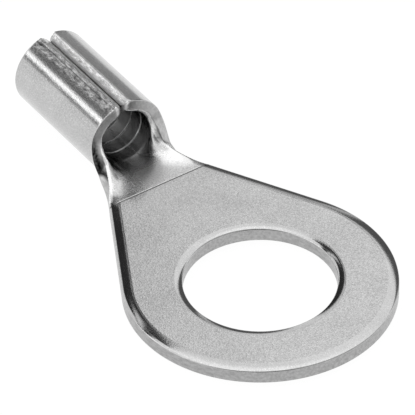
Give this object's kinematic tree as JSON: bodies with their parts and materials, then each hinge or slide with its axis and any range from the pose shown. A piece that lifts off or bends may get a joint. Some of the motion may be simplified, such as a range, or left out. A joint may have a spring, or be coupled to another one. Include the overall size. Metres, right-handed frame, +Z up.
{
  "type": "ring terminal",
  "caption": "Bare crimp ring terminal of tinned sheet: flat ring tongue with a stud hole, trough neck and a rolled wire barrel with an open butt seam.",
  "frame": {"origin": "centre of the stud hole, on the tongue's underside", "axes": "+X from the wire barrel towards the ring, +Z up through the tongue on the side of the barrel's seam, +Y to the left when looking along +X"},
  "size_m": [0.0282, 0.015, 0.0047],
  "materials": {
    "tinned_sheet": "satin tin plate on copper sheet"
  },
  "bodies": {
    "root": {"ring_terminal": "tinned_sheet"}
  },
  "joints": []
}
